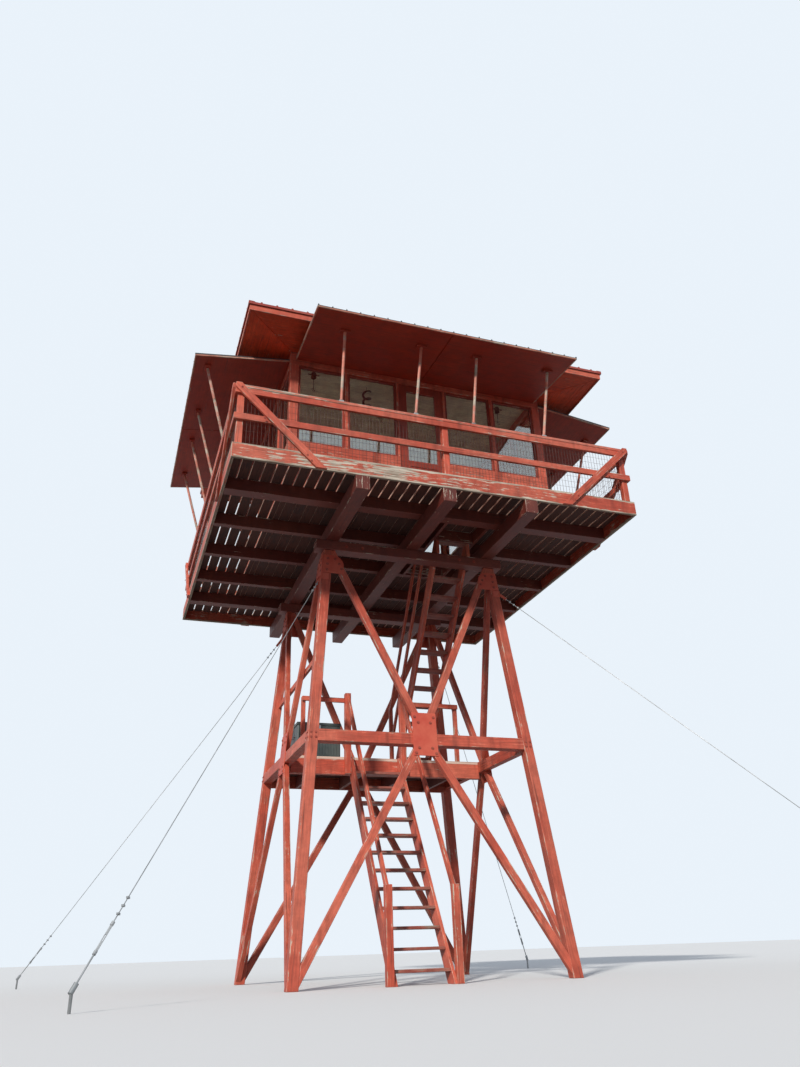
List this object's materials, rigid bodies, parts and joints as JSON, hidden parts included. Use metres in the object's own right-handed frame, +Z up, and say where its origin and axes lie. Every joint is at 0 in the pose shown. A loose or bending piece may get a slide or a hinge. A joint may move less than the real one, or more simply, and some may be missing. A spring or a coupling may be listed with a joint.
{
  "type": "fire lookout tower",
  "caption": "Timber fire lookout: a glazed cab with propped shutters and a railed catwalk on a braced, guyed frame with stairs.",
  "frame": {"origin": "on the ground at the centre of the four legs", "axes": "+Z up, front face with the cab door and the stair foot towards -Y, +X to the right seen from the front"},
  "size_m": [10.26, 10.26, 9.8655],
  "materials": {
    "red_timber": "faded red barn paint on rough timber",
    "red_boards": "faded red paint on planed boards",
    "rim_boards": "red paint peeling from grey wood",
    "deck_wood": "stained deck boards",
    "tread_wood": "grey worn treads",
    "window_wood": "red painted sashes",
    "ceiling_board": "cream painted boards",
    "window_glass": "clear",
    "red_steel": "red painted plate",
    "shutter_sheet": "dark red ribbed sheet",
    "roof_sheet": "dark red ribbed sheet",
    "galvanised": "dull galvanised",
    "box_sheet": "grey-blue ribbed sheet"
  },
  "bodies": {
    "root": {"legs": "red_timber", "girts": "red_timber", "upper_braces": "red_timber", "lower_braces": "red_timber", "cap_beams": "red_timber", "floor_beams": "red_timber", "joists": "red_timber", "hatch_frame": "red_timber", "landing_beams": "red_timber", "landing_joists": "red_timber", "landing_rails": "red_timber", "lower_stair_guards": "red_timber", "lower_stair_stringers": "red_timber", "upper_stair_guard": "red_timber", "upper_stair_stringers": "red_timber", "low_walls_front_back": "red_boards", "low_walls_sides": "red_boards", "wall_posts_front_back": "red_boards", "wall_posts_sides": "red_boards", "header_front_back": "red_boards", "header_sides": "red_boards", "soffit": "red_boards", "fascia": "red_boards", "railing_front_back": "red_boards", "railing_sides": "red_boards", "railing_struts": "red_boards", "shutter_props": "red_boards", "rim_front_back": "rim_boards", "rim_sides": "rim_boards", "catwalk_front_back": "deck_wood", "catwalk_sides": "deck_wood", "cab_floor": "deck_wood", "landing_floor": "deck_wood", "lower_stair_treads": "tread_wood", "upper_stair_treads": "tread_wood", "window_sashes": "window_wood", "door": "window_wood", "ceiling": "ceiling_board", "window_glass": "window_glass", "gusset_plates": "red_steel", "shutters": "shutter_sheet", "roof_front_back": "roof_sheet", "roof_sides": "roof_sheet", "hip_caps": "roof_sheet", "guy_cables": "galvanised", "guy_turnbuckles": "galvanised", "guy_eye_rods": "galvanised", "guy_shoes": "galvanised", "guy_anchors": "galvanised", "shutter_hinges": "galvanised", "prop_fittings": "galvanised", "storage_box": "box_sheet", "storage_box_lid": "box_sheet"}
  },
  "joints": []
}
